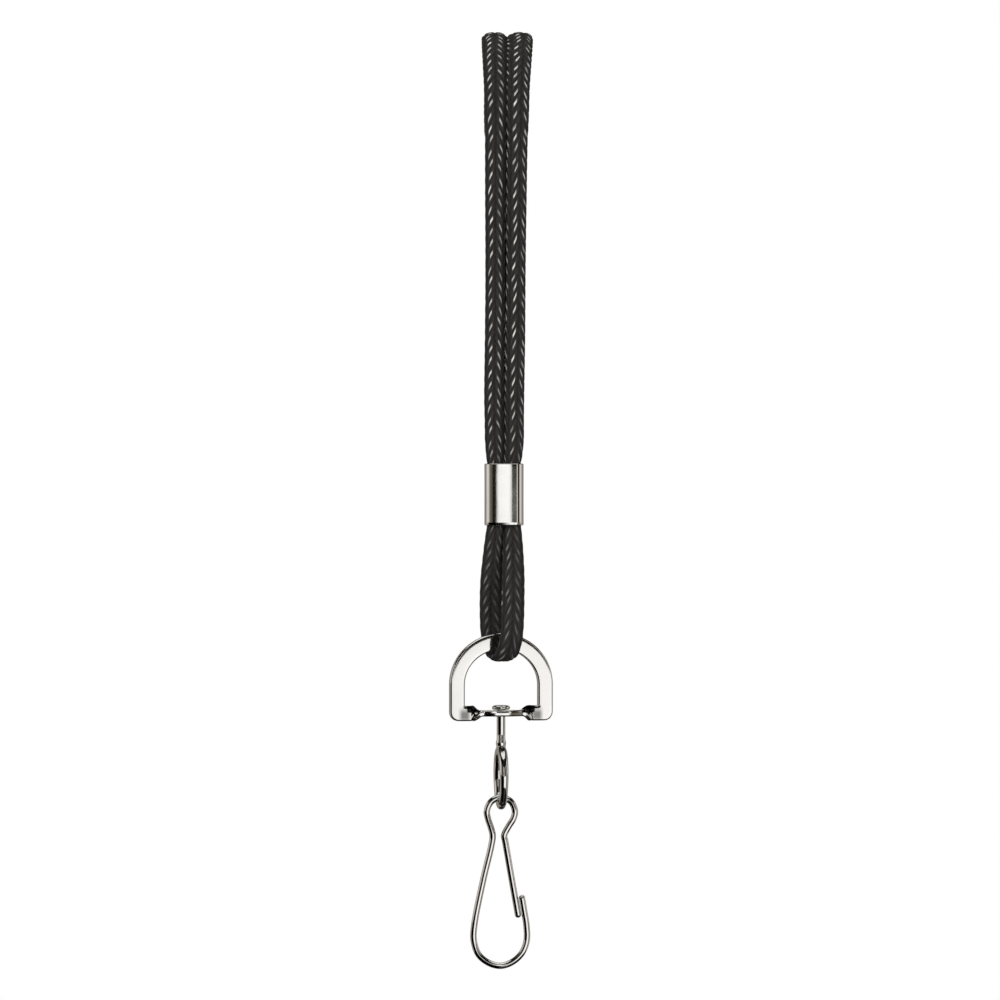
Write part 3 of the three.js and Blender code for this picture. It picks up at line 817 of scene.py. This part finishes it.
def d_ring():
    stations = ring_stations()
    line = np.array([(station[0], 0, station[1]) for station in stations])
    tangent = unit(np.roll(line, -1, axis=0) - np.roll(line, 1, axis=0))
    outward = np.stack([-tangent[:, 2], 0 * tangent[:, 0], tangent[:, 0]], axis=1)
    forward = np.array([0, -1.0, 0])
    rings = []
    for i, (_, _, width, fill, twist) in enumerate(stations):
        c, s = math.cos(twist * math.pi / 2), math.sin(twist * math.pi / 2)
        wide = outward[i] * c + forward * s
        thin = forward * c - outward[i] * s
        section = strip_section(width + fill, lerp(RING_THICKNESS, WEB_THICKNESS, twist))
        middle = line[i] + outward[i] * fill / 2
        rings.append(middle + section[:, :1] * wide + section[:, 1:] * thin)
    piece = skin("ring_frame", turned(rings, RING_TURN), RING_NICKEL, closed=True)
    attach(piece, "ring")
    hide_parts("d_ring")


# ---------------------------------------------------------------- the swivel

EYE_Z = -109.85 * MM
EYE_HALF_HEIGHT = 4.2 * MM
EYE_HALF_DEPTH = 3.3 * MM
EYE_WIRE = 1.5 * MM
EYE_WIRE_BOTTOM = 1.2 * MM
EYE_TURN = math.radians(8)
POST_RADIUS = 0.65 * MM
HEAD_RADIUS = 1.375 * MM
HEAD_TOP = -98.88 * MM
HEAD_BOTTOM = -99.6 * MM


def swivel_profile():
    """Radius and height of the rivet head and post, from the head's crown down to the eye."""
    eye_top = EYE_Z + EYE_HALF_HEIGHT
    return [
        (0.0, HEAD_TOP),
        (0.45 * HEAD_RADIUS, HEAD_TOP - 0.02 * MM),
        (0.78 * HEAD_RADIUS, HEAD_TOP - 0.10 * MM),
        (0.95 * HEAD_RADIUS, HEAD_TOP - 0.24 * MM),
        (HEAD_RADIUS, HEAD_TOP - 0.42 * MM),
        (0.97 * HEAD_RADIUS, HEAD_BOTTOM + 0.10 * MM),
        (0.88 * HEAD_RADIUS, HEAD_BOTTOM),
        (1.04 * POST_RADIUS, HEAD_BOTTOM),
        (POST_RADIUS, HEAD_BOTTOM - 0.1 * MM),
        (POST_RADIUS, WEB_Z - 1.6 * MM),
        (POST_RADIUS, eye_top + 2.4 * MM),
        (1.02 * POST_RADIUS, eye_top + 1.5 * MM),
        (1.16 * POST_RADIUS, eye_top + 1.25 * MM),
        (1.2 * POST_RADIUS, eye_top + 0.95 * MM),
        (1.1 * POST_RADIUS, eye_top + 0.6 * MM),
        (1.1 * POST_RADIUS, eye_top),
        (0.6 * POST_RADIUS, eye_top - 0.45 * MM),
        (0.0, eye_top - 0.5 * MM),
    ]


def swivel_eye():
    rings = lathe_rings(swivel_profile(), 40)
    # The first and last rings close to all but a point.
    rings[0, :, :2] = rings[1, :, :2] * 0.02
    rings[-1, :, :2] = rings[-2, :, :2] * 0.02
    post = skin("swivel_post", turned(rings, EYE_TURN), NICKEL)
    loops = []
    steps = 96
    for i in range(steps):
        angle = 2 * math.pi * i / steps
        centre = np.array([0, EYE_HALF_DEPTH * math.sin(angle), EYE_Z + EYE_HALF_HEIGHT * math.cos(angle)])
        out = unit(np.array([0, EYE_HALF_HEIGHT * math.sin(angle), EYE_HALF_DEPTH * math.cos(angle)]))
        wire = lerp(EYE_WIRE_BOTTOM, EYE_WIRE, (1 + math.cos(angle)) / 2) / 2
        around = 2 * math.pi * np.arange(20) / 20
        ring = centre + wire * np.cos(around)[:, None] * out
        ring[:, 0] += wire * np.sin(around)
        loops.append(ring)
    eye = skin("swivel_loop", turned(loops, EYE_TURN), NICKEL, closed=True)
    for piece in (post, eye):
        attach(piece, "swivel")
    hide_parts("swivel_eye")


# ---------------------------------------------------------------- the snap hook

HOOK_WIRE = 0.97 * MM
# x and z of the one wire, from the gate arm's free end up to the neck and round to the nose, in mm.
WIRE_ROUTE = [
    (2.62, -130.85),
    (2.25, -128.7),
    (1.56, -124.8),
    (0.89, -120.9),
    (0.59, -119.2),
    (0.46, -118.55),
    (0.65, -118.0),
    (1.16, -117.1),
    (1.88, -115.9),
    (2.08, -114.8),
    (1.45, -113.4),
    (0.0, -112.8),
    (-1.45, -113.4),
    (-2.12, -114.8),
    (-1.95, -116.0),
    (-1.55, -117.2),
    (-1.25, -118.5),
    (-1.45, -120.0),
    (-2.68, -125.2),
    (-4.0, -131.9),
    (-4.1, -134.2),
    (-3.4, -136.3),
    (-1.95, -137.55),
    (-0.15, -138.05),
    (1.65, -137.5),
    (3.15, -136.1),
    (3.85, -134.2),
    (3.8, -131.9),
    (3.46, -129.8),
    (3.06, -127.4),
]
WIRE_STEP = 0.12 * MM
SPLIT_Z = -116.0 * MM


def wire_sections(line):
    """Round sections along the wire, its two free ends domed."""
    gone = np.concatenate([[0], np.cumsum(np.linalg.norm(np.diff(line, axis=0), axis=1))])
    to_end = np.minimum(gone, gone[-1] - gone) / (HOOK_WIRE / 2)
    radius = HOOK_WIRE / 2 * np.sqrt(1 - np.clip(1 - to_end, 0, 0.995) ** 2)
    tangent = unit(np.gradient(line, axis=0))
    across = np.stack([-tangent[:, 2], 0 * tangent[:, 0], tangent[:, 0]], axis=1)
    around = 2 * math.pi * np.arange(20) / 20
    sections = line[:, None, :] + radius[:, None, None] * np.cos(around)[None, :, None] * across[:, None, :]
    sections[:, :, 1] -= radius[:, None] * np.sin(around)[None, :]
    return sections


def sharpen_ends(piece, sides):
    """Keeps the smooth shading of a wire's wall apart from the flat faces at its ends."""
    last = len(piece.data.vertices) - sides
    flags = []
    for edge in piece.data.edges:
        a, b = edge.vertices
        flags.append(max(a, b) < sides or min(a, b) >= last)
    sharp = piece.data.attributes.new("sharp_edge", "BOOLEAN", "EDGE")
    sharp.data.foreach_set("value", flags)


def snap_hook():
    line = smooth_line([(x * MM, FRONT_Y, z * MM) for x, z in WIRE_ROUTE], WIRE_STEP)
    sections = wire_sections(line)
    rising = int(np.argmax(line[:, 2] > SPLIT_Z))
    gate = skin("gate_wire", sections[: rising + 1], NICKEL)
    hook = skin("hook_wire", sections[rising:], NICKEL)
    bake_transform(gate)
    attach(hook, "hook")
    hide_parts("snap_hook")
    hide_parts("gate_arm")
    for piece in (gate, hook):
        sharpen_ends(piece, sections.shape[1])


# ---------------------------------------------------------------- surroundings


FLOOR_Z = -0.2
FLOOR_THICKNESS = 0.003
FLOOR_EDGE = 0.0005
FLOOR_RADIUS = 0.115
FLOOR_FLAT_RADIUS = 0.11
FLOOR_CENTRE_Y = 0.01
FLOOR_TONES = [(0.35, (0.8342, 0.8342, 0.8245)), (0.65, (0.86, 0.86, 0.85))]
FLOOR_ROUGHNESS = 0.7


def floor_material():
    n = Nodes("pale_floor")
    grain = n.add("ShaderNodeTexNoise", {"Scale": 40.0, "Detail": 3.0})
    n.drive("Base Color", n.ramp(grain.outputs[0], FLOOR_TONES))
    n.set(Roughness=FLOOR_ROUGHNESS)
    return n.material


def floor():
    underside = FLOOR_Z - FLOOR_THICKNESS
    profile = [
        (MM, FLOOR_Z),
        (FLOOR_FLAT_RADIUS, FLOOR_Z),
        (FLOOR_RADIUS, FLOOR_Z - FLOOR_EDGE),
        (FLOOR_RADIUS, underside),
        (MM, underside),
    ]
    piece = skin("floor", lathe_rings(profile, 64) + (0, FLOOR_CENTRE_Y, 0), floor_material())
    piece.visible_glossy = False


# What the polished metal reflects, by the angle round from the camera, to the right: (degrees, light).
UPPER_REFLECTIONS = [
    (-180, 0.80), (-168, 0.30), (-115, 0.30), (-100, 0.80), (-75, 0.70), (-66, 0.22), (-38, 0.10),
    (-30, 0.02), (-5.8, 0.02), (-4.6, 1.25), (5.2, 1.25), (6.4, 0.02), (49, 0.02), (51, 1.0), (56, 1.0),
    (58, 0.02), (76, 0.03), (84, 0.70), (100, 0.80), (115, 0.30), (168, 0.30), (180, 0.80),
]
LOWER_REFLECTIONS = [
    (-180, 0.80), (-168, 0.25), (-115, 0.35), (-98, 0.50), (-86, 0.35), (-78, 0.0), (0, 0.0), (5, 1.30),
    (24, 1.05), (38, 1.20), (48, 1.20), (58, 0.12), (80, 0.18), (98, 0.50), (115, 0.35), (168, 0.25),
    (180, 0.80),
]
# The powers of the light in red, green and blue, which warm its darker panels.
WARMTH = (1, 1.06, 1.15)
TENT_RADIUS = 0.6
TENT_OPENING = 0.03
TENT_WALL = 2 * MM
TENT_SIDES = 96
TENT_TOP = 0.80
TENT_BOTTOM = -1.00
# The panels change from the upper to the lower ones here, and are dark beyond the band's two edges.
REFLECTION_SPLIT_Z = -0.084
SPLIT_SOFTNESS = 0.005
BAND_MIDDLE_Z = -0.10
BAND_HALF_HEIGHT = 0.32
BAND_SOFTNESS = 0.04
DARK_LEVEL = 0.04


def reflection_ramp(n, turn, stops):
    """Light by the share of a whole turn round the object, half a turn being straight in front."""
    colours = [tuple(light**power for power in WARMTH) for _, light in stops]
    places = [0.5 + degrees / 360 for degrees, _ in stops]
    return n.ramp(turn, list(zip(places, colours)))


def reflection_material():
    n = Nodes("reflections")
    place = n.add("ShaderNodeTexCoord").outputs["Object"]
    place = n.add("ShaderNodeSeparateXYZ", {"Vector": place})
    x, y, z = (place.outputs[axis] for axis in "XYZ")
    angle = n.math("ARCTAN2", x, n.math("MULTIPLY", y, -1.0))
    turn = n.math("ADD", n.math("DIVIDE", angle, 2 * math.pi), 0.5)
    upper, lower = (reflection_ramp(n, turn, stops) for stops in (UPPER_REFLECTIONS, LOWER_REFLECTIONS))
    below = n.fade(z, REFLECTION_SPLIT_Z - SPLIT_SOFTNESS, REFLECTION_SPLIT_Z + SPLIT_SOFTNESS)
    level = n.near(z, BAND_MIDDLE_Z, BAND_HALF_HEIGHT, BAND_HALF_HEIGHT + BAND_SOFTNESS)
    strength = n.math("ADD", n.math("MULTIPLY", level, 1 - DARK_LEVEL), DARK_LEVEL)
    glow = n.add("ShaderNodeEmission", {"Color": n.mix(below, upper, lower), "Strength": strength})
    n.tree.links.new(glow.outputs[0], n.tree.nodes["Material Output"].inputs["Surface"])
    n.material.cycles.emission_sampling = "NONE"
    return n.material


def reflection_tent():
    """A wall of light and dark panels round the object, which only polished surfaces see."""
    outside, underside = TENT_RADIUS + TENT_WALL, TENT_BOTTOM - TENT_WALL
    profile = [
        (TENT_RADIUS, TENT_TOP),
        (TENT_RADIUS, TENT_BOTTOM),
        (TENT_OPENING, TENT_BOTTOM),
        (TENT_OPENING, underside),
        (outside, underside),
        (outside, TENT_TOP),
    ]
    rings = lathe_rings(profile, TENT_SIDES)[::-1]
    tent = skin("reflection_tent", rings, reflection_material(), closed=True)
    tent.visible_camera = False
    tent.visible_diffuse = False
    tent.visible_shadow = False


# Name, place, size and power in watts.
LAMPS = [
    ("key", (-0.45, -0.65, 0.35), (0.35, 0.35), 6),
    ("fill", (0.5, -0.6, 0.0), (0.3, 0.5), 2),
]


def soft_lamp(name, place, size, power):
    lamp = bpy.data.lights.new(name, "AREA")
    lamp.shape = "RECTANGLE"
    lamp.size, lamp.size_y = size
    lamp.energy = power
    holder = bpy.data.objects.new(name, lamp)
    holder.location = place
    aim = np.array([0, FRONT_Y, VIEW_CENTRE[1]]) - np.array(place)
    holder.rotation_euler = Vector(aim).to_track_quat("-Z", "Y").to_euler()
    holder.visible_glossy = False
    bpy.context.scene.collection.objects.link(holder)


def white_world():
    world = bpy.data.worlds.new("white")
    world.use_nodes = True
    background = world.node_tree.nodes["Background"]
    background.inputs["Color"].default_value = (1, 1, 1, 1)
    background.inputs["Strength"].default_value = 1.0
    bpy.context.scene.world = world
    bpy.context.scene.view_settings.view_transform = "Standard"


neck_loop(hank_tie())
ring_loop()
crimp_ferrule()
d_ring()
swivel_eye()
snap_hook()
floor()
white_world()
reflection_tent()
for lamp in LAMPS:
    soft_lamp(*lamp)
